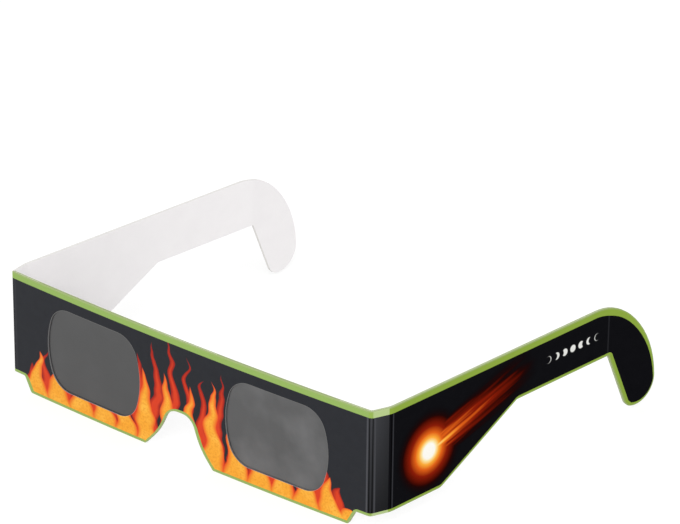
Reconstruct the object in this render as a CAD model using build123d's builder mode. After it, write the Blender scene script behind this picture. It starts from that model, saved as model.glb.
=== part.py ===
from build123d import *
import os
from math import cos, radians, sin, tan

# Card eclipse glasses, folded from one long die-cut strip of laminated card.
# X runs to the right along the front, Y back along the temples, Z up.
# The origin is on the front's outer face, midway between its creases, level with its lower edge.
os.makedirs("parts", exist_ok=True)

# Layers, from the printed face inwards
card_thickness = 0.4
film_thickness = 0.1

# Front panel, measured along its outer face from crease to crease
front_width = 145.0
front_height = 40.0
front_turn_angle = 5.9

# Step in the lower edge, where the front narrows before each side crease
step_rise = 5.1
step_run = 2.8
step_from_crease = 5.5
step_corner_radius = 1.0
step_notch_radius = 0.8

# Nose notch, cut a little off the middle
nose_depth = 15.7
nose_top_width = 8.6
nose_mouth_width = 25.0
nose_shift = 1.5
nose_top_radius = 6.2
nose_mouth_radius = 4.2

# Windows, with straight top and bottom edges and swelling sides
window_width = 39.4
window_spacing = 74.2
window_top_margin = 5.8
window_bottom_margin = 5.8
window_side_swell = 4.1
window_corner_radius = 8.2

# Filter films, which lap behind the card round the windows and reach up to its top edge
film_side_lap = 3.6
film_bottom_lap = 2.2

# Glue between the cards, kept back from the die-cut edges and from the films
glue_margin = 0.5
glue_film_gap = 0.3

# Hinge strip and temple, measured along the outer face
strip_width = 7.0
temple_length = 96.2
temple_deep_length = 21.4
temple_slope_run = 33.2
arm_height = 17.2
temple_knee_radius = 4.0
temple_hollow_radius = 1.5
hook_inner_radius = 0.6

# Ear hook, measured from its crease and from the top edge
hook_arch_start = 8.3
hook_shoulder_run = 9.5
hook_shoulder_drop = 6.5
hook_reach = 20.7
hook_reach_drop = 31.8
hook_flank_run = 8.7
hook_flank_drop = 36.2
hook_flank_radius = 4.0
hook_tip_run = 9.8
hook_tip_drop = 37.55

# Fold of each crease in degrees from flat, as the glasses stand, and the furthest each one folds
strip_fold_degrees = {"left": 79.7, "right": 64.2}
temple_fold_degrees = {"left": 13.9, "right": 17.8}
hook_fold_degrees = {"left": -4.0, "right": -4.0}
strip_limit_angle = 90.0
temple_limit_angle = 86.0
hook_limit_angle = 20.0
crease_spare_angle = 4.0

# One overrun for everything that is drawn past what it cuts or meets
overrun = 5.0

outer_card = (0, card_thickness)
middle_layer = (card_thickness, card_thickness + film_thickness)
inner_card = (card_thickness + film_thickness, 2 * card_thickness + film_thickness)
bow_radius = front_width / radians(front_turn_angle)
window_height = front_height - window_top_margin - window_bottom_margin
window_level = window_bottom_margin + window_height / 2
film_width = window_width + 2 * film_side_lap
film_height = front_height - window_bottom_margin + film_bottom_lap
side_signs = {"left": -1, "right": 1}


def crease_bevel(limit_angle):
    """Angle that each edge of a crease is pressed back by, so that the card can fold that far."""
    return (limit_angle + crease_spare_angle) / 2


# Outline of the flat blank: X along the strip from its middle, Y up from the lower edge
half_front = front_width / 2
first_crease = half_front
second_crease = first_crease + strip_width
third_crease = second_crease + temple_length
arm_bottom = front_height - arm_height
step_top = first_crease - step_from_crease

with BuildSketch() as blank:
    with BuildLine() as half_outline:
        lower_edge = FilletPolyline(
            (0, 0),
            (step_top - step_run, 0),
            (step_top, step_rise),
            (second_crease + temple_deep_length, step_rise),
            (second_crease + temple_deep_length + temple_slope_run, arm_bottom),
            (third_crease, arm_bottom),
            (third_crease + hook_flank_run, front_height - hook_flank_drop),
            (third_crease + hook_tip_run, front_height - hook_tip_drop),
            radius=[
                step_corner_radius,
                step_notch_radius,
                temple_knee_radius,
                temple_hollow_radius,
                hook_inner_radius,
                hook_flank_radius,
            ],
        )
        top_edge = Line((0, front_height), (third_crease - hook_arch_start, front_height))
        arch = TangentArc(
            top_edge @ 1,
            (third_crease + hook_shoulder_run, front_height - hook_shoulder_drop),
            tangent=top_edge % 1,
        )
        back = TangentArc(
            arch @ 1,
            (third_crease + hook_reach, front_height - hook_reach_drop),
            tangent=arch % 1,
        )
        tip = TangentArc(back @ 1, lower_edge @ 1, tangent=back % 1)
        mirror(about=Plane.YZ)
    make_face()
    with Locations((-nose_shift, 0)):
        with BuildLine(mode=Mode.PRIVATE) as nose_line:
            Polyline(
                (-nose_mouth_width / 2, 0),
                (-nose_top_width / 2, nose_depth),
                (nose_top_width / 2, nose_depth),
                (nose_mouth_width / 2, 0),
                close=True,
            )
        add(make_face(nose_line.line, mode=Mode.PRIVATE), mode=Mode.SUBTRACT)
    notch_corners = blank.vertices().sort_by_distance((-nose_shift, nose_depth))[:2]
    fillet(notch_corners, nose_top_radius)
    mouth_corners = blank.vertices().group_by(Axis.Y)[0].sort_by_distance((-nose_shift, 0))[:2]
    fillet(mouth_corners, nose_mouth_radius)

# The two windows
with BuildSketch() as windows:
    with Locations((-window_spacing / 2, window_level), (window_spacing / 2, window_level)):
        with BuildLine(mode=Mode.PRIVATE) as window_line:
            corner_x = window_width / 2 - window_side_swell
            corner_y = window_height / 2
            Line((-corner_x, corner_y), (corner_x, corner_y))
            ThreePointArc((corner_x, corner_y), (window_width / 2, 0), (corner_x, -corner_y))
            Line((corner_x, -corner_y), (-corner_x, -corner_y))
            ThreePointArc((-corner_x, -corner_y), (-window_width / 2, 0), (-corner_x, corner_y))
        add(make_face(window_line.line, mode=Mode.PRIVATE))
    fillet(windows.vertices(), window_corner_radius)

with BuildSketch() as card_outline:
    add(blank.sketch)
    add(windows.sketch, mode=Mode.SUBTRACT)

# The two films and, round them, the glue
film_level = front_height - film_height / 2
with BuildSketch() as glue_outline:
    offset(blank.sketch, amount=-glue_margin)
    with Locations((-window_spacing / 2, film_level), (window_spacing / 2, film_level)):
        Rectangle(
            film_width + 2 * glue_film_gap,
            film_height + 2 * glue_film_gap,
            mode=Mode.SUBTRACT,
        )


def front_footprint(depth_from, depth_to):
    """Plan of one layer of the bowed front, set back at both creases by their bevel."""
    half_turn = radians(front_turn_angle / 2)
    bevel = radians(crease_bevel(strip_limit_angle))
    ends = []
    for depth in (depth_from, depth_to):
        setback = depth * tan(bevel)
        end_x = (bow_radius - depth) * sin(half_turn) - setback * cos(half_turn)
        end_y = bow_radius - (bow_radius - depth) * cos(half_turn) - setback * sin(half_turn)
        ends.append((end_x, end_y))
    (near_x, near_y), (far_x, far_y) = ends
    with BuildSketch() as footprint:
        with BuildLine():
            ThreePointArc((-near_x, near_y), (0, depth_from), (near_x, near_y))
            Line((near_x, near_y), (far_x, far_y))
            ThreePointArc((far_x, far_y), (0, depth_to), (-far_x, far_y))
            Line((-far_x, far_y), (-near_x, near_y))
        make_face()
    return footprint.sketch


def arm_panels(side_name):
    """Start, heading, length, place along the blank and end bevels of the strip, temple and hook."""
    side = side_signs[side_name]
    half_turn = front_turn_angle / 2
    start = Vector(side * bow_radius * sin(radians(half_turn)), bow_radius * (1 - cos(radians(half_turn))))
    strip_bevel = crease_bevel(strip_limit_angle)
    temple_bevel = crease_bevel(temple_limit_angle)
    hook_bevel = crease_bevel(hook_limit_angle)
    rows = (
        ("strip", strip_fold_degrees, strip_width, first_crease, (strip_bevel, temple_bevel)),
        ("temple", temple_fold_degrees, temple_length, second_crease, (temple_bevel, hook_bevel)),
        ("hook", hook_fold_degrees, hook_reach + overrun, third_crease, (hook_bevel, 0)),
    )
    heading = half_turn
    panels = []
    for name, folds, length, place, bevels in rows:
        heading += folds[side_name]
        panels.append((name, start, heading, length, place, bevels))
        start = start + Vector(side * cos(radians(heading)), sin(radians(heading))) * length
    return panels


def panel_footprint(side, start, heading, length, bevels, depth_from, depth_to):
    """Plan of one layer of a flat panel, set back at each end by that crease's bevel."""
    along = Vector(side * cos(radians(heading)), sin(radians(heading)))
    inward = Vector(-side * sin(radians(heading)), cos(radians(heading)))
    start_back, end_back = (tan(radians(bevel)) for bevel in bevels)
    with BuildSketch() as footprint:
        with BuildLine():
            Polyline(
                start + along * depth_from * start_back + inward * depth_from,
                start + along * (length - depth_from * end_back) + inward * depth_from,
                start + along * (length - depth_to * end_back) + inward * depth_to,
                start + along * depth_to * start_back + inward * depth_to,
                close=True,
            )
        make_face()
    return footprint.sketch


def panel_plane(side, start, heading, place):
    """Plane of a panel's outer face on which the blank's outline lands where that panel lies."""
    along = Vector(side * cos(radians(heading)), sin(radians(heading)))
    along_blank = along * side
    return Plane(
        origin=start - along * place,
        x_dir=along_blank,
        z_dir=along_blank.cross(Axis.Z.direction),
    )


layers = (
    ("outer_card", outer_card, card_outline),
    ("glue", middle_layer, glue_outline),
    ("inner_card", inner_card, card_outline),
)

# Front: outer card, glue and inner card, all bowed
for layer_name, (depth_from, depth_to), outline in layers:
    with BuildPart() as front_layer:
        with BuildSketch(Plane.XY):
            add(front_footprint(depth_from, depth_to))
        extrude(amount=front_height)
        with BuildSketch(Plane.XZ):
            add(outline.sketch)
        extrude(amount=overrun, both=True, mode=Mode.INTERSECT)
    front_layer.part.label = "front_" + layer_name
    export_step(front_layer.part, "parts/front_" + layer_name + ".step")

# Filter films, each lying in the front's glue layer behind its window
for side_name, side in side_signs.items():
    with BuildPart() as film:
        with BuildSketch(Plane.XY):
            add(front_footprint(*middle_layer))
        extrude(amount=front_height)
        with BuildSketch(Plane.XZ):
            with Locations((side * window_spacing / 2, film_level)):
                Rectangle(film_width, film_height)
        extrude(amount=overrun, both=True, mode=Mode.INTERSECT)
    film.part.label = side_name + "_filter_film"
    export_step(film.part, "parts/" + side_name + "_filter_film.step")

# Hinge strips, temples and ear hooks, each as outer card, glue and inner card
for side_name, side in side_signs.items():
    for panel_name, start, heading, length, place, bevels in arm_panels(side_name):
        for layer_name, (depth_from, depth_to), outline in layers:
            with BuildPart() as panel_layer:
                with BuildSketch(Plane.XY):
                    add(panel_footprint(side, start, heading, length, bevels, depth_from, depth_to))
                extrude(amount=front_height)
                with BuildSketch(panel_plane(side, start, heading, place)):
                    add(outline.sketch)
                extrude(amount=overrun, both=True, mode=Mode.INTERSECT)
            node_name = side_name + "_" + panel_name + "_" + layer_name
            panel_layer.part.label = node_name
            export_step(panel_layer.part, "parts/" + node_name + ".step")
        print(side_name, panel_name, "crease at", start, "heading", heading)
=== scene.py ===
from math import atan2, ceil, cos, degrees, pi, radians, sin, tan

import bpy
from mathutils import Matrix, Vector
from mathutils.geometry import delaunay_2d_cdt, intersect_line_line_2d


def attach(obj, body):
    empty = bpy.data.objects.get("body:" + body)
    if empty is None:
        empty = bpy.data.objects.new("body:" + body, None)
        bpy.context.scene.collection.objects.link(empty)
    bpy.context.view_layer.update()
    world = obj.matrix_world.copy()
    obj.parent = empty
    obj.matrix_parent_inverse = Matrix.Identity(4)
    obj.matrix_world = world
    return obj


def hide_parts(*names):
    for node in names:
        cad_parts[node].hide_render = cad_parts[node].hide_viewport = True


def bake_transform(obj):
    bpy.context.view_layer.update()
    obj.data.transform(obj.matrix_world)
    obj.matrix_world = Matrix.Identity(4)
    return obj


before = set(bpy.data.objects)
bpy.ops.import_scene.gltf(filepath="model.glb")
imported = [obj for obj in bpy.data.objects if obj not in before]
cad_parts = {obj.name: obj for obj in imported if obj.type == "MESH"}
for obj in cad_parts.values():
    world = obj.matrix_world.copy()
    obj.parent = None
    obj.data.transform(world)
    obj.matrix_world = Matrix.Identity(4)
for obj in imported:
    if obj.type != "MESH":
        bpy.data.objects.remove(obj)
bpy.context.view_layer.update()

# The die-cut blank.
# One long strip of two boards glued face to face and stamped out flat with a steel rule.
# Lengths are in millimetres along the printed face, from the middle of the front outwards.
MM = 0.001
BOARD_THICKNESS = 0.4
FRONT_WIDTH = 145.0
FRONT_HEIGHT = 40.0
FRONT_TURN = 5.9
STRIP_WIDTH = 7.0
TEMPLE_LENGTH = 96.2
DEEP_LENGTH = 21.4
SLOPE_RUN = 33.2
ARM_HEIGHT = 17.2
KNEE_RADIUS = 4.0
HOLLOW_RADIUS = 1.5
STEP_RISE = 5.1
STEP_RUN = 2.8
STEP_FROM_CREASE = {-1: 4.8, 1: 5.3}
STEP_RADII = (1.0, 0.8)
NOSE_MIDDLE = -1.5

# Corners of the nose notch: place from the front's middle, height, and radius
NOSE_CORNERS = (
    (-15.3, 0.0, 1.2),
    (-9.1, 6.7, 28.0),
    (-5.4, 15.3, 5.5),
    (3.7, 15.4, 5.0),
    (6.9, 6.1, 24.0),
    (12.3, 0.0, 0.8),
)

# The ear hook, whose places are their run past its crease and their drop from the top edge
HOOK_CORNER_RUN = 0.3
HOOK_INNER_RADIUS = 0.6
HOOK_ARCH_START = 6.0
HOOK_SHOULDER = (9.5, 5.95)
HOOK_REACH = (21.2, 30.2)
HOOK_FLANK = (8.5, 36.5)
HOOK_FLANK_RADIUS = 4.0
HOOK_TIP = (10.0, 37.95)

ARC_STEP = radians(5)

first_crease = FRONT_WIDTH / 2
second_crease = first_crease + STRIP_WIDTH
third_crease = second_crease + TEMPLE_LENGTH
arm_bottom = FRONT_HEIGHT - ARM_HEIGHT


def arc_points(centre, start, turn):
    """Points of an arc about centre from start, through turn radians, without its first point."""
    steps = max(2, round(abs(turn) / ARC_STEP))
    spoke = start - centre
    return [centre + Matrix.Rotation(turn * i / steps, 2) @ spoke for i in range(1, steps + 1)]


def rounded_path(corners):
    """An open line through corners, each given as (x, y, radius of its rounding)."""
    points = [Vector(corners[0][:2])]
    for before, (x, y, radius), after in zip(corners, corners[1:], corners[2:]):
        here = Vector((x, y))
        way_in = (here - Vector(before[:2])).normalized()
        way_out = (Vector(after[:2]) - here).normalized()
        turn = -way_in.angle_signed(way_out)
        start = here - way_in * radius * tan(abs(turn) / 2)
        side = Vector((-way_in.y, way_in.x)) * (1 if turn > 0 else -1)
        points.append(start)
        points += arc_points(start + side * radius, start, turn)
    points.append(Vector(corners[-1][:2]))
    return points


def tangent_arc(start, heading, end):
    """An arc that leaves start along heading and ends at end, and the heading there."""
    chord = end - start
    half = -heading.angle_signed(chord)
    radius = chord.length / (2 * sin(abs(half)))
    side = Vector((-heading.y, heading.x)) * (1 if half > 0 else -1)
    return arc_points(start + side * radius, start, 2 * half), Matrix.Rotation(2 * half, 2) @ heading


def hook_point(place):
    """A point given by its run past the hook's crease and its drop from the top edge."""
    return Vector((third_crease + place[0], FRONT_HEIGHT - place[1]))


def lower_corners(side):
    """The lower edge on one side, from the nose notch out to the hook's tip."""
    step = first_crease - STEP_FROM_CREASE[side]
    knee = second_crease + DEEP_LENGTH
    rows = (
        (step - STEP_RUN, 0, STEP_RADII[0]),
        (step, STEP_RISE, STEP_RADII[1]),
        (knee, STEP_RISE, KNEE_RADIUS),
        (knee + SLOPE_RUN, arm_bottom, HOLLOW_RADIUS),
        (third_crease + HOOK_CORNER_RUN, arm_bottom, HOOK_INNER_RADIUS),
        (*hook_point(HOOK_FLANK), HOOK_FLANK_RADIUS),
        (*hook_point(HOOK_TIP), 0),
    )
    return [(side * x, y, radius) for x, y, radius in rows]


lower_edge = rounded_path(lower_corners(-1)[::-1] + list(NOSE_CORNERS) + lower_corners(1))
arch_start = Vector((third_crease - HOOK_ARCH_START, FRONT_HEIGHT))
arch, shoulder_way = tangent_arc(arch_start, Vector((1, 0)), hook_point(HOOK_SHOULDER))
back, reach_way = tangent_arc(arch[-1], shoulder_way, hook_point(HOOK_REACH))
tip, _ = tangent_arc(back[-1], reach_way, lower_edge[-1])
hook_edge = [arch_start] + arch + back + tip[:-1]
card_outline = lower_edge + hook_edge[::-1] + [Vector((-p.x, p.y)) for p in hook_edge]

# The windows.
# The same die cuts them through both boards: straight top and bottom edges, sides that swell
# outwards, and rounded corners. The rule lifts a thin pale burr of fibres round each one.
WINDOW_SIZE = (39.4, 28.4)
WINDOW_SPACING = 74.2
WINDOW_BOTTOM = 5.8
WINDOW_SWELL = 4.1
WINDOW_RADIUS = 8.2
BURR_WIDTH = 0.12
SAME_PLACE = 1e-4

window_level = WINDOW_BOTTOM + WINDOW_SIZE[1] / 2


def window_outline(middle):
    """One window's outline, made as its right half and that half turned round."""
    half_width, half_height = WINDOW_SIZE[0] / 2, WINDOW_SIZE[1] / 2
    side_radius = (half_height**2 + WINDOW_SWELL**2) / (2 * WINDOW_SWELL)
    side_centre = Vector((half_width - side_radius, 0))
    round_y = half_height - WINDOW_RADIUS
    round_x = side_centre.x + ((side_radius - WINDOW_RADIUS) ** 2 - round_y**2) ** 0.5
    rise = atan2(round_y, round_x - side_centre.x)
    lower = Vector((round_x, -half_height))
    side_start = side_centre + side_radius * Vector((cos(rise), -sin(rise)))
    half = [lower] + arc_points(Vector((round_x, -round_y)), lower, pi / 2 - rise)
    half += arc_points(side_centre, side_start, 2 * rise)
    half += arc_points(Vector((round_x, round_y)), half[-1], pi / 2 - rise)
    return [p + middle for p in half] + [middle - p for p in half]


def clean(outline):
    """The outline without points that lie on top of the one before."""
    befores = outline[-1:] + outline[:-1]
    return [p for before, p in zip(befores, outline) if (p - before).length > SAME_PLACE]


card_outline = clean(card_outline)
window_places = [Vector((side * WINDOW_SPACING / 2, window_level)) for side in (-1, 1)]
windows = [clean(window_outline(place)) for place in window_places]

# The black field.
# It is printed with a lime border that follows the die line. The print sits a little low and a
# little to the right of the cut, and is a trace longer, as sheets that have stretched on press are.
BORDER_WIDTH = 1.55
NOSE_REACH = 25.0
NOSE_NARROWING = 0.45
HOOK_NARROWING = 0.3
CROWN_WIDENING = 0.5
REGISTER_SLIP = Vector((0.35, -0.62))
SHEET_STRETCH = 1.0022
RIM_WIDTH = 0.4
LONGEST_LOOP = 30


def inset(outline, distance_at):
    """The outline moved inwards, to its left, by a distance that may depend on place and way in."""
    moved = []
    for before, here, after in zip(outline[-1:] + outline[:-1], outline, outline[1:] + outline[:1]):
        way_in = (here - before).normalized()
        way_out = (after - here).normalized()
        across = Vector((-way_in.y - way_out.y, way_in.x + way_out.x)).normalized()
        distance = distance_at(here, across) / across.dot(Vector((-way_out.y, way_out.x)))
        moved.append(here + across * distance)
    return without_loops(moved)


def without_loops(outline):
    """The outline less the small loops that an inset makes at corners tighter than itself."""
    kept = []
    i = 0
    while i < len(outline):
        kept.append(outline[i])
        for j in range(min(i + LONGEST_LOOP, len(outline) - 2), i + 1, -1):
            crossing = intersect_line_line_2d(outline[i], outline[i + 1], outline[j], outline[j + 1])
            if crossing:
                kept.append(crossing)
                i = j
                break
        i += 1
    return kept


def border_width(point, inward):
    """How wide the border was drawn there: narrow at the nose, and wide over the hook's crown."""
    width = BORDER_WIDTH
    if abs(point.x - NOSE_MIDDLE) < NOSE_REACH and point.y < FRONT_HEIGHT / 2:
        width -= NOSE_NARROWING * abs(inward.x)
    on_arch = min(1.0, (abs(point.x) - arch_start.x) / HOOK_ARCH_START)
    if inward.y < 0 < on_arch:
        width += on_arch * min(CROWN_WIDENING, -inward.y - HOOK_NARROWING)
    elif abs(point.x) > third_crease:
        on_flank = max(0.0, inward.x if point.x > 0 else -inward.x)
        width -= HOOK_NARROWING * (1.0 - inward.y + on_flank)
    return width


burr_rings = [inset(window, lambda point, inward: -BURR_WIDTH) for window in windows]
rim = inset(card_outline, lambda point, inward: RIM_WIDTH)
black_field = [
    Vector((p.x * SHEET_STRETCH, p.y)) + REGISTER_SLIP for p in inset(card_outline, border_width)
]

# How the strip is folded.
# Each crease was pressed with a blunt rule before folding, which leaves a shallow groove on either
# side of its middle. The board bends round there as a tight arc, the white board inside it as a
# wider one that comes off its glue, and the front bows a little.
STRIP_FOLDS = {"left": 79.7, "right": 64.2}
TEMPLE_FOLDS = {"left": 13.9, "right": 17.8}
HOOK_FOLDS = {"left": -4.0, "right": -4.0}

# How far the arc of a fold reaches to either side of its crease
PRINTED_STRIP_REACHES = {"left": 0.5, "right": 0.9}
WHITE_STRIP_REACHES = {"left": 1.1, "right": 1.1}
TEMPLE_REACH = 1.0
HOOK_REACH_AROUND = 0.6

GROOVE_DEPTHS = {"strip_crease": 0.07, "temple_crease": 0.03, "hook_crease": 0.02}
CREASE_COLUMN = 0.15
BOW_COLUMN = 6.0
CUT_DECIMALS = 4
CUT_TOLERANCE = 1e-5
MERGE_DISTANCE = 0.002

# The columns of a bend come in fours, so that both grooves have one at their deepest
COLUMN_GROUP = 4

# Whether a triangle of the printed face lies in the border, in its darker rim, and on a burr
FACE_MARKS = ("border", "rim", "burr")

side_signs = {"left": -1, "right": 1}
bow_radius = FRONT_WIDTH / radians(FRONT_TURN)


def folded_lengths(side_name, strip_reach):
    """Each length out from the front: name, from, to and turn, walking towards the hook."""
    creases = (
        ("strip", first_crease, strip_reach, STRIP_FOLDS[side_name]),
        ("temple", second_crease, TEMPLE_REACH, TEMPLE_FOLDS[side_name]),
        ("hook", third_crease, HOOK_REACH_AROUND, HOOK_FOLDS[side_name]),
    )
    ends = [place - reach for _, place, reach, _ in creases[1:]] + [third_crease + FRONT_HEIGHT]
    rows = []
    for (name, place, reach, fold), end in zip(creases, ends):
        rows.append((name + "_crease", place - reach, place + reach, fold))
        rows.append((name, place + reach, end, 0.0))
    return rows


def plan_direction(side, heading):
    """Direction in plan of a length that leads out from the front at that heading."""
    return Vector((side * cos(radians(heading)), sin(radians(heading))))


def on_bow(place):
    """The point of the bowed front's outer face at that place, in plan, and the heading there."""
    angle = place / bow_radius
    return Vector((bow_radius * sin(angle), bow_radius * (1 - cos(angle)))), degrees(angle)


def laid_out(side_name, strip_reach):
    """Those lengths in plan: from, to, start point, heading and turn, all in the direction of +X."""
    side = side_signs[side_name]
    corner, heading = on_bow(side * first_crease)
    heading = abs(heading)
    place = first_crease
    rows = {}
    for name, start, end, turn in folded_lengths(side_name, strip_reach):
        first = corner + plan_direction(side, heading) * (start - place)
        if turn:
            place = (start + end) / 2
            corner = first + plan_direction(side, heading) * (place - start)
            heading += turn
        last = corner + plan_direction(side, heading) * (end - place)
        if side > 0:
            rows[side_name, name] = (start, end, first, heading - turn, turn)
        else:
            rows[side_name, name] = (-end, -start, last, -heading, turn)
    return rows


def board_lengths(strip_reaches):
    """All the lengths of one board by side and name, the front first."""
    start, end = strip_reaches["left"] - first_crease, first_crease - strip_reaches["right"]
    first, heading = on_bow(start)
    rows = {("front", "panel"): (start, end, first, heading, on_bow(end)[1] - heading)}
    for side_name, strip_reach in strip_reaches.items():
        rows.update(laid_out(side_name, strip_reach))
    return rows


printed_lengths = board_lengths(PRINTED_STRIP_REACHES)
white_lengths = board_lengths(WHITE_STRIP_REACHES)


def inside(outline, point):
    """Whether the point is inside the outline."""
    found = False
    for a, b in zip(outline, outline[1:] + outline[:1]):
        if (a.y > point.y) != (b.y > point.y):
            if point.x < a.x + (point.y - a.y) * (b.x - a.x) / (b.y - a.y):
                found = not found
    return found


def flat_cut():
    """The flat card as triangles, cut along the ink's borders, the burrs, the creases and the bow."""
    cuts = set()
    for (_, name), (start, end, _, _, turn) in [*printed_lengths.items(), *white_lengths.items()]:
        column = BOW_COLUMN if name == "panel" else CREASE_COLUMN
        columns = ceil((end - start) / column / COLUMN_GROUP) * COLUMN_GROUP if turn else 1
        for i in range(columns + 1):
            cuts.add(round(start + (end - start) * i / columns, CUT_DECIMALS))
    points, edges = [], []
    for outline in [card_outline, rim, black_field] + windows + burr_rings:
        first = len(points)
        points += outline
        edges += [(first + i, first + (i + 1) % len(outline)) for i in range(len(outline))]
    for x in sorted(cuts):
        edges.append((len(points), len(points) + 1))
        points += [Vector((x, -FRONT_HEIGHT)), Vector((x, 2 * FRONT_HEIGHT))]
    cut_points, _, triangles, *_ = delaunay_2d_cdt(points, edges, [], 0, CUT_TOLERANCE)
    faces = []
    for face in triangles:
        middle = sum((cut_points[i] for i in face), Vector((0, 0))) / len(face)
        if inside(card_outline, middle) and not any(inside(window, middle) for window in windows):
            marks = (
                not inside(black_field, middle),
                not inside(rim, middle),
                any(inside(ring, middle) for ring in burr_rings),
            )
            faces.append((face, middle, marks))
    return cut_points, faces


flat_points, flat_faces = flat_cut()


def flat_length(start, end):
    """One length of the flat card as a mesh, printed side up, with border, rim and burr marked."""
    kept = [row for row in flat_faces if start < row[1].x < end]
    used = sorted({i for face, _, _ in kept for i in face})
    place = {i: n for n, i in enumerate(used)}
    mesh = bpy.data.meshes.new("flat")
    mesh.from_pydata(
        [(flat_points[i].x * MM, flat_points[i].y * MM, 0) for i in used],
        [],
        [[place[i] for i in face] for face, _, _ in kept],
    )
    for column, name in enumerate(FACE_MARKS):
        values = mesh.attributes.new(name, "FLOAT", "FACE").data
        values.foreach_set("value", [float(marks[column]) for _, _, marks in kept])
    return mesh


def add_node(tree, kind, inputs=None, **settings):
    """Adds a node with its settings. An input is a value, a socket, or a node for its first output."""
    node = tree.nodes.new(kind)
    for name, value in settings.items():
        setattr(node, name, value)
    for name, value in (inputs or {}).items():
        if isinstance(name, int):
            socket = node.inputs[name]
        else:
            socket = next(s for s in node.inputs if s.enabled and s.name == name)
        if isinstance(value, bpy.types.Node):
            value = next(s for s in value.outputs if s.enabled)
        if isinstance(value, bpy.types.NodeSocket):
            tree.links.new(value, socket)
        else:
            socket.default_value = value
    return node


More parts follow.
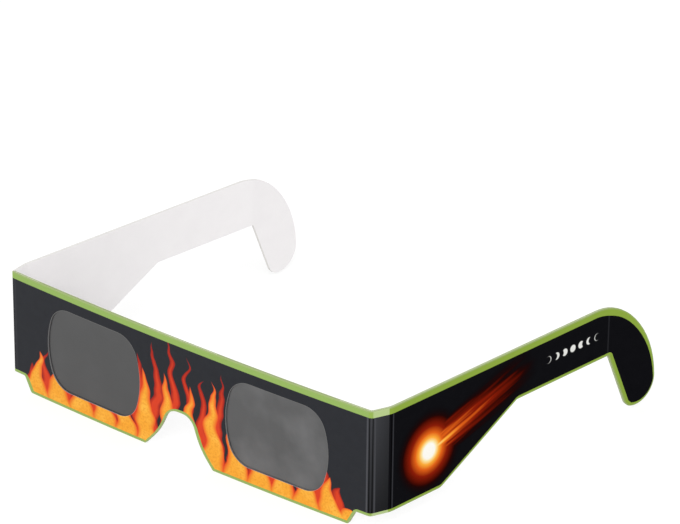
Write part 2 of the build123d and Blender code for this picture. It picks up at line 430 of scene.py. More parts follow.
def folding_tree():
    """Gives a flat length its thickness, its groove, its arc or straight, and its place in plan."""
    tree = bpy.data.node_groups.new("Folded card", "GeometryNodeTree")
    tree.interface.new_socket("Geometry", in_out="OUTPUT", socket_type="NodeSocketGeometry")
    tree.interface.new_socket("Geometry", in_out="INPUT", socket_type="NodeSocketGeometry")
    for name in ("Depth", "Thickness", "Groove", "From", "Length", "Turn", "Radius", "Heading"):
        tree.interface.new_socket(name, in_out="INPUT", socket_type="NodeSocketFloat")
    tree.interface.new_socket("Start", in_out="INPUT", socket_type="NodeSocketVector")
    tree.interface.new_socket("Bent", in_out="INPUT", socket_type="NodeSocketBool")
    for name in ("Face", "Cut edge", "Reverse"):
        tree.interface.new_socket(name, in_out="INPUT", socket_type="NodeSocketMaterial")
    size = add_node(tree, "NodeGroupInput").outputs

    # Two faces and the cut edge between them
    under_depth = add_node(tree, "ShaderNodeMath", {0: size["Depth"], 1: size["Thickness"]}, operation="ADD")
    lowered = add_node(tree, "ShaderNodeVectorMath", {0: (0, 0, -1), "Scale": under_depth}, operation="SCALE")
    under = add_node(tree, "GeometryNodeSetPosition", {"Geometry": size["Geometry"], "Offset": lowered})
    raised = add_node(
        tree,
        "GeometryNodeExtrudeMesh",
        {"Mesh": under, "Offset Scale": size["Thickness"], "Individual": False},
    )
    turned = add_node(tree, "GeometryNodeFlipFaces", {"Mesh": under})
    joined = add_node(tree, "GeometryNodeJoinGeometry", {"Geometry": raised})
    tree.links.new(turned.outputs[0], joined.inputs[0])
    merged = add_node(
        tree, "GeometryNodeMergeByDistance", {"Geometry": joined, "Distance": MERGE_DISTANCE * MM}
    )

    # Where each point lies on the blank, in millimetres, is kept for the print
    flat = add_node(tree, "GeometryNodeInputPosition")
    in_mm = add_node(tree, "ShaderNodeVectorMath", {0: flat, "Scale": 1 / MM}, operation="SCALE")
    marked = add_node(
        tree,
        "GeometryNodeStoreNamedAttribute",
        {"Geometry": merged, "Name": "blank", "Value": in_mm},
        data_type="FLOAT_VECTOR",
        domain="POINT",
    )

    # The two grooves of a pressed crease, deepest a quarter of its length from either end
    xyz = add_node(tree, "ShaderNodeSeparateXYZ", {0: flat}).outputs
    gone = add_node(tree, "ShaderNodeMath", {0: xyz["X"], 1: size["From"]}, operation="SUBTRACT")
    share = add_node(tree, "ShaderNodeMath", {0: gone, 1: size["Length"]}, operation="DIVIDE")
    waves = add_node(tree, "ShaderNodeMath", {0: share, 1: 2 * pi}, operation="MULTIPLY")
    wave = add_node(tree, "ShaderNodeMath", {0: waves}, operation="SINE")
    dent = add_node(tree, "ShaderNodeMath", {0: wave, 1: wave}, operation="MULTIPLY")
    pressed = add_node(tree, "ShaderNodeMath", {0: dent, 1: size["Groove"]}, operation="MULTIPLY")
    level = add_node(tree, "ShaderNodeMath", {0: xyz["Z"], 1: pressed}, operation="SUBTRACT")

    # The arc, or the straight
    angle = add_node(tree, "ShaderNodeMath", {0: share, 1: size["Turn"]}, operation="MULTIPLY")
    spoke = add_node(tree, "ShaderNodeMath", {0: size["Radius"], 1: level}, operation="ADD")
    sine = add_node(tree, "ShaderNodeMath", {0: angle}, operation="SINE")
    cosine = add_node(tree, "ShaderNodeMath", {0: angle}, operation="COSINE")
    out = add_node(tree, "ShaderNodeMath", {0: sine, 1: spoke}, operation="MULTIPLY")
    fall = add_node(tree, "ShaderNodeMath", {0: cosine, 1: spoke}, operation="MULTIPLY")
    inward = add_node(tree, "ShaderNodeMath", {0: size["Radius"], 1: fall}, operation="SUBTRACT")
    arc = add_node(tree, "ShaderNodeCombineXYZ", {"X": out, "Y": inward, "Z": xyz["Y"]})
    sunk = add_node(tree, "ShaderNodeMath", {0: level, 1: -1.0}, operation="MULTIPLY")
    straight = add_node(tree, "ShaderNodeCombineXYZ", {"X": gone, "Y": sunk, "Z": xyz["Y"]})
    shape = add_node(
        tree,
        "GeometryNodeSwitch",
        {"Switch": size["Bent"], "False": straight, "True": arc},
        input_type="VECTOR",
    )
    headed = add_node(
        tree,
        "ShaderNodeVectorRotate",
        {"Vector": shape, "Angle": size["Heading"]},
        rotation_type="Z_AXIS",
    )
    placed = add_node(tree, "ShaderNodeVectorMath", {0: headed, 1: size["Start"]}, operation="ADD")
    folded = add_node(tree, "GeometryNodeSetPosition", {"Geometry": marked, "Position": placed})

    real = add_node(tree, "GeometryNodeRealizeInstances", {"Geometry": folded})
    backed = add_node(tree, "GeometryNodeSetMaterial", {"Geometry": real, "Material": size["Reverse"]})
    edged = add_node(
        tree,
        "GeometryNodeSetMaterial",
        {"Geometry": backed, "Selection": raised.outputs["Side"], "Material": size["Cut edge"]},
    )
    faced = add_node(
        tree,
        "GeometryNodeSetMaterial",
        {"Geometry": edged, "Selection": raised.outputs["Top"], "Material": size["Face"]},
    )
    add_node(tree, "NodeGroupOutput", {"Geometry": faced})
    return tree


folded_card = folding_tree()


def crease_radius(start, end, turn):
    """Radius of a crease's printed face, whose arc leaves both straights where it starts and ends."""
    return (end - start) / 2 / tan(radians(turn) / 2)


def fold(piece_name, name, length, depth, face, cut_edge, reverse):
    """One length of one board as a finished piece, standing where it does on the folded glasses."""
    start, end, point, heading, turn = length
    piece = bpy.data.objects.new(piece_name, flat_length(start, end))
    bpy.context.scene.collection.objects.link(piece)
    modifier = piece.modifiers.new("Fold", "NODES")
    modifier.node_group = folded_card
    radius = crease_radius(start, end, turn) if turn else 0.0
    if name == "panel":
        radius = bow_radius
    sizes = {
        "Depth": depth * MM,
        "Thickness": BOARD_THICKNESS * MM,
        "Groove": GROOVE_DEPTHS.get(name, 0.0) * MM,
        "From": start * MM,
        "Length": (end - start) * MM,
        "Turn": radians(turn),
        "Radius": radius * MM,
        "Heading": radians(heading),
        "Start": (point.x * MM, point.y * MM, 0.0),
        "Bent": bool(turn),
        "Face": face,
        "Cut edge": cut_edge,
        "Reverse": reverse,
    }
    for item in folded_card.interface.items_tree:
        if item.item_type == "SOCKET" and item.in_out == "INPUT" and item.name in sizes:
            modifier[item.identifier] = sizes[item.name]
    bpy.context.view_layer.update()
    graph = bpy.context.evaluated_depsgraph_get()
    finished = bpy.data.meshes.new_from_object(piece.evaluated_get(graph), depsgraph=graph)
    piece.modifiers.clear()
    piece.data = finished
    finished.name = piece_name
    return piece


def place_board(board, lengths, depth, node_ending, slot_name, faces, cut_edge, reverse):
    """All the lengths of one board: panels ride on their bodies, creases bend between two."""
    for (side_name, name), length in lengths.items():
        body = "front" if name == "panel" else side_name + "_" + name.removesuffix("_crease")
        face = faces.get(name, faces["arm"])
        piece_name = board + "_" + ("front" if name == "panel" else side_name + "_" + name)
        piece = fold(piece_name, name, length, depth, face, cut_edge, reverse)
        if name.endswith("_crease"):
            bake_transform(piece)
        else:
            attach(piece, body)
            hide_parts(body + "_" + node_ending)


# The offset inks.
# A black field and a lime border, printed on coated board under a thin clear dispersion varnish.
# They give a soft satin sheen over a very fine tooth of fibres. Along the creases lie pale
# lines, partly ink rub and partly painted highlight, and dark lines of painted shade.
LIME_SHEEN = "#CBDAAA"
LIME_RIM = "#9DAE74"
RIM_SHARE = 0.6
INK_RUBBED_AND_SHEEN = "#505156"
INK_GROOVE_SHADE = "#040405"
BURR_COLOUR = "#B9B9B4"
BURR_SHARE = 0.3
SATIN_ROUGHNESS = {"To Min": 0.38, "To Max": 0.5}
INK_TOOTH = {"Strength": 0.12, "Distance": 0.02 * MM}

# Noise over the blank, its scale per millimetre. Real fibres are a few hundredths of a millimetre
# wide, too fine to show, so they are drawn as coarse as half a millimetre.
FIBRES = {"Scale": 2.2, "Detail": 6.0, "Roughness": 0.7}
MOTTLE = {"Scale": 0.35, "Detail": 4.0, "Roughness": 0.6}

# Place from the middle of the front, half width, and share, of the lines along the creases: pale
# ones of ink rub and painted highlight on the ridges, and dark ones of painted shade in the grooves
RUB_AND_HIGHLIGHT_LINES = (
    (first_crease - 1.35, 0.5, 0.8),
    (first_crease, 0.4, 0.3),
    (first_crease + 1.35, 0.6, 0.7),
    (second_crease + 0.5, 0.4, 0.45),
    (third_crease - 0.1, 0.5, 0.2),
)
GROOVE_SHADE_LINES = (
    (first_crease - 0.6, 0.35, 1.0),
    (first_crease + 0.6, 0.35, 1.0),
    (second_crease - 0.12, 0.35, 0.9),
)

# The strips carry a painted sheen, strongest by the front and at the top, and their lime is painted
# paler there. The left side's crease lines are drawn far weaker than the right side's.
SHEEN_ALONG = {"From Min": first_crease + 0.8, "From Max": second_crease - 0.6}
SHEEN_BY_TEMPLE = 0.5
SHEEN_UPWARDS = {"From Min": 4.0, "From Max": FRONT_HEIGHT - 2.0, "To Min": 0.15}
LIME_SHEEN_ALONG = {"From Min": first_crease + 0.3, "From Max": first_crease + 1.0}
LINES_FROM_LEFT = {"From Min": -10.0, "From Max": 10.0, "To Min": 0.2}


def linear(hex_code):
    """sRGB hex to linear RGBA."""
    parts = [int(hex_code[i : i + 2], 16) / 255 for i in (1, 3, 5)]
    return tuple(c / 12.92 if c <= 0.04045 else ((c + 0.055) / 1.055) ** 2.4 for c in parts) + (1.0,)


def empty_material(name):
    """A new material with nothing in its node tree."""
    material = bpy.data.materials.new(name)
    material.use_nodes = True
    material.node_tree.nodes.clear()
    return material


def lines_along(tree, along, lines):
    """How strong the lines are at this place along the blank: the strongest of them."""
    overlay = 0.0
    for place, half_width, strength in lines:
        away = add_node(tree, "ShaderNodeMath", {0: along, 1: place}, operation="SUBTRACT")
        either_way = add_node(tree, "ShaderNodeMath", {0: away}, operation="ABSOLUTE")
        line = add_node(
            tree,
            "ShaderNodeMapRange",
            {"Value": either_way, "From Max": half_width, "To Min": strength, "To Max": 0.0},
            interpolation_type="SMOOTHSTEP",
        )
        overlay = add_node(tree, "ShaderNodeMath", {0: overlay, 1: line}, operation="MAXIMUM")
    return overlay


def offset_print(name, blacks, limes, specular, painted_sheen=0.0, picture=None):
    """The printed face; picture takes the tree, the place on the blank and the black ink."""
    material = empty_material(name)
    tree = material.node_tree
    blank = add_node(tree, "ShaderNodeAttribute", attribute_name="blank").outputs["Vector"]
    border, rim, burr = (
        add_node(tree, "ShaderNodeAttribute", attribute_name=mark).outputs["Fac"] for mark in FACE_MARKS
    )
    mottle = add_node(tree, "ShaderNodeTexNoise", {"Vector": blank, **MOTTLE})
    fibres = add_node(tree, "ShaderNodeTexNoise", {"Vector": blank, **FIBRES})
    black, lime = (
        add_node(
            tree,
            "ShaderNodeMix",
            {"Factor": noise, "A": linear(first), "B": linear(second)},
            data_type="RGBA",
        )
        for noise, (first, second) in ((mottle, blacks), (fibres, limes))
    )
    ink = picture(tree, blank, black) if picture else black

    # Pale lines along the creases, of ink rub and painted highlight, dark lines of painted shade in the
    # grooves, and the hinge strip's painted sheen
    place = add_node(tree, "ShaderNodeSeparateXYZ", {0: blank}).outputs
    along = add_node(tree, "ShaderNodeMath", {0: place["X"]}, operation="ABSOLUTE")
    # The hinge strip's painted sheen, strongest by the front and at the top
    on_strip = add_node(
        tree,
        "ShaderNodeMapRange",
        {"Value": along, "To Min": painted_sheen, "To Max": painted_sheen * SHEEN_BY_TEMPLE, **SHEEN_ALONG},
    )
    towards_top = add_node(tree, "ShaderNodeMapRange", {"Value": place["Y"], **SHEEN_UPWARDS})
    strip_sheen = add_node(tree, "ShaderNodeMath", {0: on_strip, 1: towards_top}, operation="MULTIPLY")
    more_on_right = add_node(tree, "ShaderNodeMapRange", {"Value": place["X"], **LINES_FROM_LEFT})
    all_lines = lines_along(tree, along, RUB_AND_HIGHLIGHT_LINES)
    lines = add_node(tree, "ShaderNodeMath", {0: all_lines, 1: more_on_right}, operation="MULTIPLY")
    rubbed_and_sheen = add_node(tree, "ShaderNodeMath", {0: lines, 1: strip_sheen}, operation="MAXIMUM")
    all_groove_shade = lines_along(tree, along, GROOVE_SHADE_LINES)
    groove_shade = add_node(tree, "ShaderNodeMath", {0: all_groove_shade, 1: more_on_right}, operation="MULTIPLY")
    # The pale colour is ink rub, painted highlight and the strip's painted sheen; the dark one is painted
    # shade in the grooves
    for share, overlay in ((rubbed_and_sheen, INK_RUBBED_AND_SHEEN), (groove_shade, INK_GROOVE_SHADE)):
        ink = add_node(
            tree, "ShaderNodeMix", {"Factor": share, "A": ink, "B": linear(overlay)}, data_type="RGBA"
        )
    rim_share = add_node(tree, "ShaderNodeMath", {0: rim, 1: RIM_SHARE}, operation="MULTIPLY")
    # The strip's lime is painted paler by the front crease, a painted sheen
    lime_sheen = add_node(tree, "ShaderNodeMapRange", {"Value": along, "To Max": painted_sheen, **LIME_SHEEN_ALONG})
    for share, overlay in ((rim_share, LIME_RIM), (lime_sheen, LIME_SHEEN)):
        lime = add_node(
            tree, "ShaderNodeMix", {"Factor": share, "A": lime, "B": linear(overlay)}, data_type="RGBA"
        )
    inked = add_node(tree, "ShaderNodeMix", {"Factor": border, "A": ink, "B": lime}, data_type="RGBA")
    burr_share = add_node(tree, "ShaderNodeMath", {0: burr, 1: BURR_SHARE}, operation="MULTIPLY")
    colour = add_node(
        tree, "ShaderNodeMix", {"Factor": burr_share, "A": inked, "B": linear(BURR_COLOUR)}, data_type="RGBA"
    )
    roughness = add_node(tree, "ShaderNodeMapRange", {"Value": fibres, **SATIN_ROUGHNESS})
    tooth = add_node(tree, "ShaderNodeBump", {"Height": fibres, **INK_TOOTH})
    bsdf = add_node(
        tree,
        "ShaderNodeBsdfPrincipled",
        {"Base Color": colour, "Roughness": roughness, "Normal": tooth, "Specular IOR Level": specular},
    )
    add_node(tree, "ShaderNodeOutputMaterial", {"Surface": bsdf})
    return material


# The cut edge.
# Board that a steel rule has pressed and cut: compacted fibres in fine layers along the card. The
# border's ink has been dragged into it. The left arm's is bare pulp, and the windows' is painted a
# darker grey, a painted shade for the inside of the window.
EDGE_DYED = ("#90A166", "#AEBC88")
EDGE_BARE = ("#D2D0CC", "#EFEDEA")
EDGE_PAINTED_SHADE = ("#6A696A", "#868486")
BARE_ON_LEFT = {"From Min": -first_crease, "From Max": -first_crease - 1.0}
LAYER_STRETCH = (0.6, 0.6, 9.0)
LAYERS = {"Scale": 1.2, "Detail": 5.0}
LAYER_RELIEF = {"Strength": 0.5, "Distance": 0.05 * MM}
EDGE_FINISH = {"Roughness": 0.85, "Specular IOR Level": 0.2}


def cut_board():
    """Matt layered pulp in three colours: dyed by the ink, bare on the left arm, painted shade at the
    windows.
    """
    material = empty_material("Die-cut board edge")
    tree = material.node_tree
    blank = add_node(tree, "ShaderNodeAttribute", attribute_name="blank").outputs["Vector"]
    at_window = add_node(tree, "ShaderNodeAttribute", attribute_name="burr").outputs["Fac"]
    place = add_node(tree, "ShaderNodeSeparateXYZ", {0: blank}).outputs
    on_left_arm = add_node(tree, "ShaderNodeMapRange", {"Value": place["X"], **BARE_ON_LEFT})
    stretched = add_node(tree, "ShaderNodeMapping", {"Vector": blank, "Scale": LAYER_STRETCH})
    layers = add_node(tree, "ShaderNodeTexNoise", {"Vector": stretched, **LAYERS})
    dyed, bare, window_shade = (
        add_node(
            tree, "ShaderNodeMix", {"Factor": layers, "A": linear(dark), "B": linear(light)}, data_type="RGBA"
        )
        for dark, light in (EDGE_DYED, EDGE_BARE, EDGE_PAINTED_SHADE)
    )
    outer = add_node(tree, "ShaderNodeMix", {"Factor": on_left_arm, "A": dyed, "B": bare}, data_type="RGBA")
    # At the windows the edge is painted a darker grey, a painted shade
    colour = add_node(tree, "ShaderNodeMix", {"Factor": at_window, "A": outer, "B": window_shade}, data_type="RGBA")
    bump = add_node(tree, "ShaderNodeBump", {"Height": layers, **LAYER_RELIEF})
    bsdf = add_node(tree, "ShaderNodeBsdfPrincipled", {"Base Color": colour, "Normal": bump, **EDGE_FINISH})
    add_node(tree, "ShaderNodeOutputMaterial", {"Surface": bsdf})
    return material


edge_board = cut_board()

# The front's picture.
# Two rows of pointed flame tongues that rise from the lower edge, high between the windows and low
# beneath them: dark red ones behind, orange ones before, speckled like glowing embers.
FLAME_BASE = 3.5

# Distance from the nose notch's middle, and the height of the flames there above their base
FLAME_HEIGHTS = ((0, 35), (9, 34), (19, 28), (29, 15), (50, 13), (57, 17), (62, 11), (66, 3), (72.5, 0.5))

# Each row's tongue width, sway, seed and share of those heights, and its colours inside and at its rim
FLAME_ROWS = (
    (6.6, 2.4, 3.7, 1.05, "#CF3B1B", "#8E1410"),
    (9.2, 2.0, 8.2, 0.93, "#EFA532", "#DE4A1B"),
)
TONGUE_BENDS = (0.04, 0.12, 0)
SHORTEST_TONGUE = 0.66
TONGUE_TAPER = 0.85
TONGUE_EDGE = {"From Max": 0.06}
TONGUE_HEAT = {"From Min": 0.04, "From Max": 0.42}
EMBER_DEEP = "#DB8A26"
EMBER_BRIGHT = "#FBC24E"
EMBERS = {"Scale": 1.3, "Detail": 3.0, "Roughness": 0.65}
EMBER_SPECKS = {"From Min": 0.46, "From Max": 0.62, "To Max": 0.6}
SWELLS = {"Scale": 0.14, "Detail": 2.0}
BRIGHT_SWELLS = {"From Min": 0.48, "From Max": 0.75, "To Max": 0.7}


def flames(tree, blank, black):
    """Both rows of tongues over the black ink."""
    place = add_node(tree, "ShaderNodeSeparateXYZ", {0: blank}).outputs
    from_nose = add_node(tree, "ShaderNodeMath", {0: place["X"], 1: NOSE_MIDDLE}, operation="SUBTRACT")
    along = add_node(tree, "ShaderNodeMath", {0: from_nose}, operation="ABSOLUTE")
    reach = add_node(tree, "ShaderNodeMath", {0: along, 1: first_crease}, operation="DIVIDE")
    heights = add_node(tree, "ShaderNodeFloatCurve", {"Value": reach})
    curve = heights.mapping.curves[0]
    curve.points[0].location = (0, FLAME_HEIGHTS[0][1] / FRONT_HEIGHT)
    curve.points[-1].location = (1, FLAME_HEIGHTS[-1][1] / FRONT_HEIGHT)
    for x, tall in FLAME_HEIGHTS[1:-1]:
        curve.points.new(x / first_crease, tall / FRONT_HEIGHT)
    heights.mapping.update()
    embers = add_node(tree, "ShaderNodeTexNoise", {"Vector": blank, **EMBERS})
    swell = add_node(tree, "ShaderNodeTexNoise", {"Vector": blank, **SWELLS})
    above = add_node(tree, "ShaderNodeMath", {0: place["Y"], 1: FLAME_BASE}, operation="SUBTRACT")
    colour = black
    for width, sway, seed, share, body, rim in FLAME_ROWS:
        bend_place = add_node(
            tree, "ShaderNodeMapping", {"Vector": blank, "Location": (0, 0, seed), "Scale": TONGUE_BENDS}
        )
        bend = add_node(tree, "ShaderNodeTexNoise", {"Vector": bend_place, "Scale": 1.0, "Detail": 1.0})
        bent = add_node(tree, "ShaderNodeMapRange", {"Value": bend, "To Min": -sway * 2, "To Max": sway * 2})
        across = add_node(tree, "ShaderNodeMath", {0: from_nose, 1: bent}, operation="ADD")
        cell = add_node(tree, "ShaderNodeMath", {0: across, 1: width}, operation="DIVIDE")
        number = add_node(tree, "ShaderNodeMath", {0: cell}, operation="FLOOR")
        seeded = add_node(tree, "ShaderNodeMath", {0: number, 1: seed}, operation="ADD")
        chance = add_node(tree, "ShaderNodeTexWhiteNoise", {"W": seeded}, noise_dimensions="1D")
        tallest = share * FRONT_HEIGHT
        shortest = SHORTEST_TONGUE * tallest
        varied = add_node(
            tree, "ShaderNodeMapRange", {"Value": chance, "To Min": shortest, "To Max": tallest}
        )
        tall = add_node(tree, "ShaderNodeMath", {0: heights, 1: varied}, operation="MULTIPLY")
        risen = add_node(tree, "ShaderNodeMath", {0: above, 1: tall}, operation="DIVIDE")
        left_over = add_node(tree, "ShaderNodeMath", {0: 1.0, 1: risen}, operation="SUBTRACT")
        spare = add_node(tree, "ShaderNodeMath", {0: left_over, 1: 0.0}, operation="MAXIMUM")
        narrow = add_node(tree, "ShaderNodeMath", {0: spare, 1: TONGUE_TAPER}, operation="POWER")
        ridge = add_node(tree, "ShaderNodeMath", {0: cell, 1: 0.5}, operation="PINGPONG")
        middle = add_node(tree, "ShaderNodeMath", {0: ridge, 1: 2.0, 2: -1.0}, operation="MULTIPLY_ADD")
        depth = add_node(tree, "ShaderNodeMath", {0: middle, 1: narrow}, operation="ADD")
        flame = add_node(tree, "ShaderNodeMapRange", {"Value": depth, **TONGUE_EDGE})
        heat = add_node(tree, "ShaderNodeMapRange", {"Value": depth, **TONGUE_HEAT})
        glowing = add_node(
            tree, "ShaderNodeMix", {"Factor": heat, "A": linear(rim), "B": linear(body)}, data_type="RGBA"
        )
        colour = add_node(
            tree, "ShaderNodeMix", {"Factor": flame, "A": colour, "B": glowing}, data_type="RGBA"
        )
    for noise, mapped, ember in ((swell, BRIGHT_SWELLS, EMBER_BRIGHT), (embers, EMBER_SPECKS, EMBER_DEEP)):
        spots = add_node(tree, "ShaderNodeMapRange", {"Value": noise, **mapped})
        inside_share = add_node(tree, "ShaderNodeMath", {0: spots, 1: heat}, operation="MULTIPLY")
        colour = add_node(
            tree, "ShaderNodeMix", {"Factor": inside_share, "A": colour, "B": linear(ember)}, data_type="RGBA"
        )
    return colour


# The arms' picture.
# A comet by the hinge, white-hot at its head, whose streaked tail cools to dark red along the arm,
# and behind it a row of small white moons from new to full and back.
COMET_HEAD = (95.5, 19.5, 0.0)
COMET_HEADING = radians(17)
COMET_GLOW = {"From Min": 2.4, "From Max": 16.0, "To Min": 1.0, "To Max": 0.0}
TAIL_LENGTH = 50.0
TAIL_ROOT = {"From Min": -2.0, "From Max": 2.0}
TAIL_FADE = {"From Max": TAIL_LENGTH, "To Min": 1.0, "To Max": 0.0}
TAIL_WIDTH = {"From Max": TAIL_LENGTH, "To Min": 6.5, "To Max": 9.0}
STREAK_STRETCH = (0.03, 0.6, 1.0)
STREAKS = {"Scale": 1.0, "Detail": 3.0}
STREAK_HEAT = {"From Min": 0.35, "From Max": 0.65, "To Min": 0.45}

# Heat, and the colour that it glows in
GLOW = (
    (0.0, "#000000"),
    (0.12, "#240503"),
    (0.34, "#8A1E0A"),
    (0.55, "#E2621A"),
    (0.74, "#FFB03C"),
    (0.88, "#FFE7A0"),
    (1.0, "#FFFDF4"),
)
GLOW_OVER_INK = {"From Min": 0.01, "From Max": 0.15}
MOON_COUNT = 7
MOON_START = 148.0
MOON_STEP = 3.7
MOON_LEVEL = 31.2
MOON_RADIUS = 1.2
MOON_INK = "#E6E6E2"
MOON_LEAD = 0.35
MOON_BLUR = 0.12
MOON_EDGE = {
    "From Min": MOON_RADIUS - MOON_BLUR,
    "From Max": MOON_RADIUS + MOON_BLUR,
    "To Min": 1.0,
    "To Max": 0.0,
}


def comet_and_moons(tree, blank, black):
    """The comet and the moons over the black ink, the same on both arms."""
    along = add_node(tree, "ShaderNodeVectorMath", {0: blank}, operation="ABSOLUTE")
    from_head = add_node(tree, "ShaderNodeVectorMath", {0: along, 1: COMET_HEAD}, operation="SUBTRACT")
    away = add_node(tree, "ShaderNodeVectorMath", {0: from_head}, operation="LENGTH").outputs["Value"]
    glow = add_node(tree, "ShaderNodeMapRange", {"Value": away, **COMET_GLOW})
    halo = add_node(tree, "ShaderNodeMath", {0: glow, 1: 2.0}, operation="POWER")
    turned = add_node(
        tree, "ShaderNodeVectorRotate", {"Vector": from_head, "Angle": -COMET_HEADING}, rotation_type="Z_AXIS"
    )
    tail_place = add_node(tree, "ShaderNodeSeparateXYZ", {0: turned}).outputs
    started, fading, width = (
        add_node(tree, "ShaderNodeMapRange", {"Value": tail_place["X"], **mapped})
        for mapped in (TAIL_ROOT, TAIL_FADE, TAIL_WIDTH)
    )
    off_middle = add_node(tree, "ShaderNodeMath", {0: tail_place["Y"], 1: width}, operation="DIVIDE")
    off_either = add_node(tree, "ShaderNodeMath", {0: off_middle}, operation="ABSOLUTE")
    within = add_node(tree, "ShaderNodeMapRange", {"Value": off_either, "To Min": 1.0, "To Max": 0.0})
    drawn_out = add_node(tree, "ShaderNodeMapping", {"Vector": turned, "Scale": STREAK_STRETCH})
    streaks = add_node(tree, "ShaderNodeTexNoise", {"Vector": drawn_out, **STREAKS})
    streaked = add_node(tree, "ShaderNodeMapRange", {"Value": streaks, **STREAK_HEAT})
    tail = started
    for share in (fading, within, streaked):
        tail = add_node(tree, "ShaderNodeMath", {0: tail, 1: share}, operation="MULTIPLY")
    heat = add_node(tree, "ShaderNodeMath", {0: halo, 1: tail}, operation="MAXIMUM")
    ramp = add_node(tree, "ShaderNodeValToRGB", {"Fac": heat})
    stops = ramp.color_ramp.elements
    for (place, hex_code), stop in zip((GLOW[0], GLOW[-1]), (stops[0], stops[-1])):
        stop.position = place
        stop.color = linear(hex_code)
    for place, hex_code in GLOW[1:-1]:
        stops.new(place).color = linear(hex_code)
    lit = add_node(tree, "ShaderNodeMapRange", {"Value": heat, **GLOW_OVER_INK})
    colour = add_node(
        tree, "ShaderNodeMix", {"Factor": lit, "A": black, "B": ramp.outputs["Color"]}, data_type="RGBA"
    )

    # A moon is a disc less another of its size, which slips off it to one side and then the other.
    # The lead is how many steps past new the first one is.
    half = (MOON_COUNT - 1) / 2
    for i in range(MOON_COUNT):
        x = MOON_START + MOON_STEP * i
        lit_share = (half + MOON_LEAD - abs(i - half)) / (half + MOON_LEAD)
        slip = lit_share * 2 * MOON_RADIUS * (-1 if i < half else 1)
        discs = []
        for centre_x in (x, x + slip):
            away = add_node(
                tree, "ShaderNodeVectorMath", {0: along, 1: (centre_x, MOON_LEVEL, 0)}, operation="DISTANCE"
            )
            discs.append(add_node(tree, "ShaderNodeMapRange", {"Value": away.outputs["Value"], **MOON_EDGE}))
        unlit = add_node(tree, "ShaderNodeMath", {0: 1.0, 1: discs[1]}, operation="SUBTRACT")
        moon = add_node(tree, "ShaderNodeMath", {0: discs[0], 1: unlit}, operation="MULTIPLY")
        colour = add_node(
            tree, "ShaderNodeMix", {"Factor": moon, "A": colour, "B": linear(MOON_INK)}, data_type="RGBA"
        )
    return colour


# The printed board.
# The outer one of the two: its picture faces out, and its plain back is glued to the other board.
# Below, each length's blacks, limes and specular level, then how strong the strips' painted sheen is.
# The ink is one and the same: its black and lime are painted lighter on the front than on the strips
# and arms, a painted sheen.
FRONT_INKS = (("#1C1D22", "#24262B"), ("#87A551", "#92B061"), 0.12)
STRIP_INKS = (("#090A0C", "#0E0F11"), ("#89A548", "#93B057"), 0.05)
ARM_INKS = (("#0E0E11", "#131316"), ("#87A23A", "#91AC49"), 0.0)
STRIP_PAINTED_SHEEN = 0.5

front_print = offset_print("Offset print with flames", *FRONT_INKS, picture=flames)
strip_print = offset_print("Offset print with painted sheen", *STRIP_INKS, painted_sheen=STRIP_PAINTED_SHEEN)
arm_print = offset_print("Offset print with comet", *ARM_INKS, picture=comet_and_moons)
printed_faces = {"panel": front_print, "strip_crease": strip_print, "strip": strip_print, "arm": arm_print}

# The white board.
# Uncoated bleached pulp on the wearer's side: matt, faintly cloudy, with a short fibre tooth. The
# real tooth is too fine to show, so it is drawn as coarse as 0.4 mm.
PULP_WHITES = ("#EEEBEC", "#FAF8F8")
PULP_CLOUDS = {"Scale": 0.12, "Detail": 5.0, "Roughness": 0.65}
PULP_TOOTH = {"Scale": 2.6, "Detail": 6.0, "Roughness": 0.75}
TOOTH_SHARE = 0.4
PULP_RELIEF = {"Strength": 0.25, "Distance": 0.03 * MM}
PULP_FINISH = {"Roughness": 0.8, "Specular IOR Level": 0.2}


def white_pulp():
    """Matt white with clouds and tooth, for the white board and the printed board's hidden back."""
    material = empty_material("Uncoated white board")
    tree = material.node_tree
    blank = add_node(tree, "ShaderNodeAttribute", attribute_name="blank").outputs["Vector"]
    cloud = add_node(tree, "ShaderNodeTexNoise", {"Vector": blank, **PULP_CLOUDS})
    tooth = add_node(tree, "ShaderNodeTexNoise", {"Vector": blank, **PULP_TOOTH})
    share = add_node(
        tree, "ShaderNodeMix", {"Factor": TOOTH_SHARE, "A": cloud, "B": tooth}, data_type="FLOAT"
    )
    colour = add_node(
        tree,
        "ShaderNodeMix",
        {"Factor": share, "A": linear(PULP_WHITES[0]), "B": linear(PULP_WHITES[1])},
        data_type="RGBA",
    )
    bump = add_node(tree, "ShaderNodeBump", {"Height": tooth, **PULP_RELIEF})
    bsdf = add_node(tree, "ShaderNodeBsdfPrincipled", {"Base Color": colour, "Normal": bump, **PULP_FINISH})
    add_node(tree, "ShaderNodeOutputMaterial", {"Surface": bsdf})
    return material


GLUE_LINE = 0.1
white_board = white_pulp()
white_depth = BOARD_THICKNESS + GLUE_LINE
boards = (
    ("printed_card", printed_lengths, 0.0, "outer_card", "printed_card", printed_faces),
    ("white_card", white_lengths, white_depth, "inner_card", "white_card", {"arm": white_board}),
)
for board in boards:
    place_board(*board, edge_board, white_board)

# The adhesive.
# A thin film of dispersion glue between the boards, dried clear and a little yellow in streaks,
# which are drawn as coarse as they need to be to show at the cut edges.
GLUE_COLOURS = ("#C9BF98", "#DAD2B0")
GLUE_STREAKS = {"Scale": 0.4 / MM, "Detail": 3.0}
GLUE_ROUGHNESS = 0.5


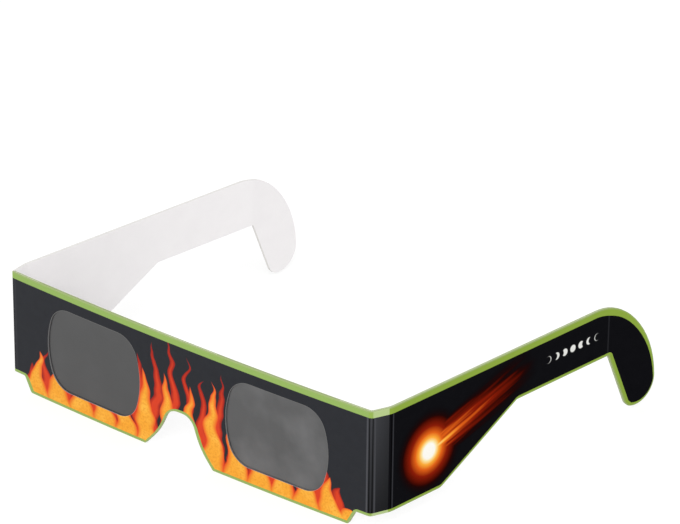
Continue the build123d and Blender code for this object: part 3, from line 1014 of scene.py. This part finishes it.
def dried_glue():
    """Yellowish streaks with a soft shine."""
    material = empty_material("Dried dispersion glue")
    tree = material.node_tree
    place = add_node(tree, "ShaderNodeTexCoord").outputs["Object"]
    streaks = add_node(tree, "ShaderNodeTexNoise", {"Vector": place, **GLUE_STREAKS})
    colour = add_node(
        tree,
        "ShaderNodeMix",
        {"Factor": streaks, "A": linear(GLUE_COLOURS[0]), "B": linear(GLUE_COLOURS[1])},
        data_type="RGBA",
    )
    bsdf = add_node(tree, "ShaderNodeBsdfPrincipled", {"Base Color": colour, "Roughness": GLUE_ROUGHNESS})
    add_node(tree, "ShaderNodeOutputMaterial", {"Surface": bsdf})
    return material


glue = dried_glue()
for name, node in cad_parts.items():
    if name.endswith("_glue"):
        node.data.materials.clear()
        node.data.materials.append(glue)

# The filter films.
# Black polymer film, loaded with carbon and rolled smooth: almost opaque, with a soft grey shine, and
# not quite flat between the boards. Its colour holds a painted reflection in clouds, and the right
# film's is painted lighter than the left's. Its grain is drawn at 0.6 mm, coarser than the real one,
# so that it shows.
FILM_REFLECTION_GREYS = {"left": ("#161617", "#212122"), "right": ("#2F2F30", "#505051")}
FILM_WAVES = {"Scale": 0.055 / MM, "Detail": 2.0}
FILM_CLOUDS = {"Scale": 0.07 / MM, "Detail": 3.0}
FILM_GRAIN = {"Scale": 1.6 / MM, "Detail": 3.0}
PAINTED_SHINE_CLOUDS = {"From Min": 0.4, "From Max": 0.75}
WAVE_RELIEF = {"Strength": 0.35, "Distance": 0.6 * MM}
FILM_ROUGHNESS = {"To Min": 0.28, "To Max": 0.38}
FILM_IOR = 1.75


def black_polymer(side_name):
    """The film of one side, whose greys are a painted reflection of what its own tilt catches of the room."""
    material = empty_material("Black polymer film, " + side_name)
    tree = material.node_tree
    place = add_node(tree, "ShaderNodeTexCoord").outputs["Object"]
    wave, cloud, grain = (
        add_node(tree, "ShaderNodeTexNoise", {"Vector": place, **noise})
        for noise in (FILM_WAVES, FILM_CLOUDS, FILM_GRAIN)
    )
    shine_clouds = add_node(tree, "ShaderNodeMapRange", {"Value": cloud, **PAINTED_SHINE_CLOUDS})
    # The greys and their clouds are a painted reflection, lighter on the right film
    dark, light = FILM_REFLECTION_GREYS[side_name]
    colour = add_node(
        tree, "ShaderNodeMix", {"Factor": shine_clouds, "A": linear(dark), "B": linear(light)}, data_type="RGBA"
    )
    soft = add_node(tree, "ShaderNodeBump", {"Height": wave, **WAVE_RELIEF})
    roughness = add_node(tree, "ShaderNodeMapRange", {"Value": grain, **FILM_ROUGHNESS})
    bsdf = add_node(
        tree,
        "ShaderNodeBsdfPrincipled",
        {"Base Color": colour, "Roughness": roughness, "IOR": FILM_IOR, "Normal": soft},
    )
    add_node(tree, "ShaderNodeOutputMaterial", {"Surface": bsdf})
    return material


for side_name in side_signs:
    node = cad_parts[side_name + "_filter_film"]
    node.data.materials.clear()
    node.data.materials.append(black_polymer(side_name))

# The floor.
# A wide pale sheet. Its glow and white backdrop are for the camera and for reflections alone, and
# its plain half still takes the object's shadow.
FLOOR_SIZE = 3.0
FLOOR_GLOW = 0.7
FLOOR_GREY = (0.35, 0.35, 0.35, 1.0)
FLOOR_BOUNCE = (0.8, 0.8, 0.8, 1.0)
WHITE = (1.0, 1.0, 1.0, 1.0)


def seen_directly(tree):
    """One where the camera, a reflection or a clear body looks at it, and zero for its light."""
    ray = add_node(tree, "ShaderNodeLightPath").outputs
    seen = add_node(
        tree, "ShaderNodeMath", {0: ray["Is Camera Ray"], 1: ray["Is Glossy Ray"]}, operation="MAXIMUM"
    )
    return add_node(tree, "ShaderNodeMath", {0: seen, 1: ray["Is Transmission Ray"]}, operation="MAXIMUM")


def pale_floor():
    """The sheet at the level that the glasses stand on."""
    mesh = bpy.data.meshes.new("floor")
    half = FLOOR_SIZE / 2
    corners = [(-half, -half, 0), (half, -half, 0), (half, half, 0), (-half, half, 0)]
    mesh.from_pydata(corners, [], [(0, 1, 2, 3)])
    floor = bpy.data.objects.new("floor", mesh)
    bpy.context.scene.collection.objects.link(floor)
    material = empty_material("Pale floor")
    tree = material.node_tree
    shadowed = add_node(tree, "ShaderNodeBsdfDiffuse", {"Color": FLOOR_GREY})
    glow = add_node(tree, "ShaderNodeEmission", {"Color": WHITE, "Strength": FLOOR_GLOW})
    shown = add_node(tree, "ShaderNodeAddShader", {0: shadowed, 1: glow})
    bounce = add_node(tree, "ShaderNodeBsdfDiffuse", {"Color": FLOOR_BOUNCE})
    chosen = add_node(tree, "ShaderNodeMixShader", {0: seen_directly(tree), 1: bounce, 2: shown})
    add_node(tree, "ShaderNodeOutputMaterial", {"Surface": chosen})
    mesh.materials.append(material)


pale_floor()

# The light.
# An even white surround, and one soft lamp from the front and right that casts the shadow.
WORLD_LIGHT = 0.85
KEY_SPOT = Vector((0.36, -0.93, 0.95))
KEY_AIM = Vector((0.0, 0.05, 0.02))
KEY_SIZE = 0.9
KEY_POWER = 9.0

world = bpy.data.worlds.new("Studio")
bpy.context.scene.world = world
world.use_nodes = True
tree = world.node_tree
tree.nodes.clear()
light = add_node(tree, "ShaderNodeBackground", {"Color": WHITE, "Strength": WORLD_LIGHT})
backdrop = add_node(tree, "ShaderNodeBackground", {"Color": WHITE, "Strength": 1.0})
chosen = add_node(tree, "ShaderNodeMixShader", {0: seen_directly(tree), 1: light, 2: backdrop})
add_node(tree, "ShaderNodeOutputWorld", {"Surface": chosen})

lamp = bpy.data.lights.new("key_light", "AREA")
lamp.shape = "RECTANGLE"
lamp.size = lamp.size_y = KEY_SIZE
lamp.energy = KEY_POWER
key_light = bpy.data.objects.new("key_light", lamp)
key_light.location = KEY_SPOT
key_light.rotation_euler = (KEY_AIM - KEY_SPOT).to_track_quat("-Z", "Y").to_euler()
bpy.context.scene.collection.objects.link(key_light)

# The camera.
# A long lens from the front right, a little above, fitted to the card's corners in the photograph.
# Focal length and frame width are in pixels of the photograph, sensor and aim in millimetres.
FOCAL_PIXELS = 4104.4
FRAME_WIDTH = 680
SENSOR = 36.0
CLIP_NEAR = 0.05
CLIP_FAR = 20
YAW, PITCH, ROLL = radians(-39.35), radians(25.64), radians(0.63)
AIM = Vector((0, 0, 20))
AIM_SHIFT = (-48.0, -42.0)
AIM_DISTANCE = 1246.6

level_right = Vector((cos(YAW), -sin(YAW), 0))
level_ahead = Vector((sin(YAW), cos(YAW), 0))
up_axis = Vector((0, 0, 1))
ahead = level_ahead * cos(PITCH) - up_axis * sin(PITCH)
level_up = up_axis * cos(PITCH) + level_ahead * sin(PITCH)
right = level_right * cos(ROLL) + level_up * sin(ROLL)
up = level_up * cos(ROLL) - level_right * sin(ROLL)
camera_data = bpy.data.cameras.new("camera")
camera_data.sensor_width = SENSOR
camera_data.lens = FOCAL_PIXELS * SENSOR / FRAME_WIDTH
camera_data.clip_start = CLIP_NEAR
camera_data.clip_end = CLIP_FAR
camera = bpy.data.objects.new("camera", camera_data)
spot = AIM - (right * AIM_SHIFT[0] + up * AIM_SHIFT[1] + ahead * AIM_DISTANCE)
camera.matrix_world = Matrix.Translation(spot * MM) @ Matrix((right, up, -ahead)).transposed().to_4x4()
bpy.context.scene.collection.objects.link(camera)
bpy.context.scene.camera = camera
bpy.context.scene.view_settings.view_transform = "Standard"
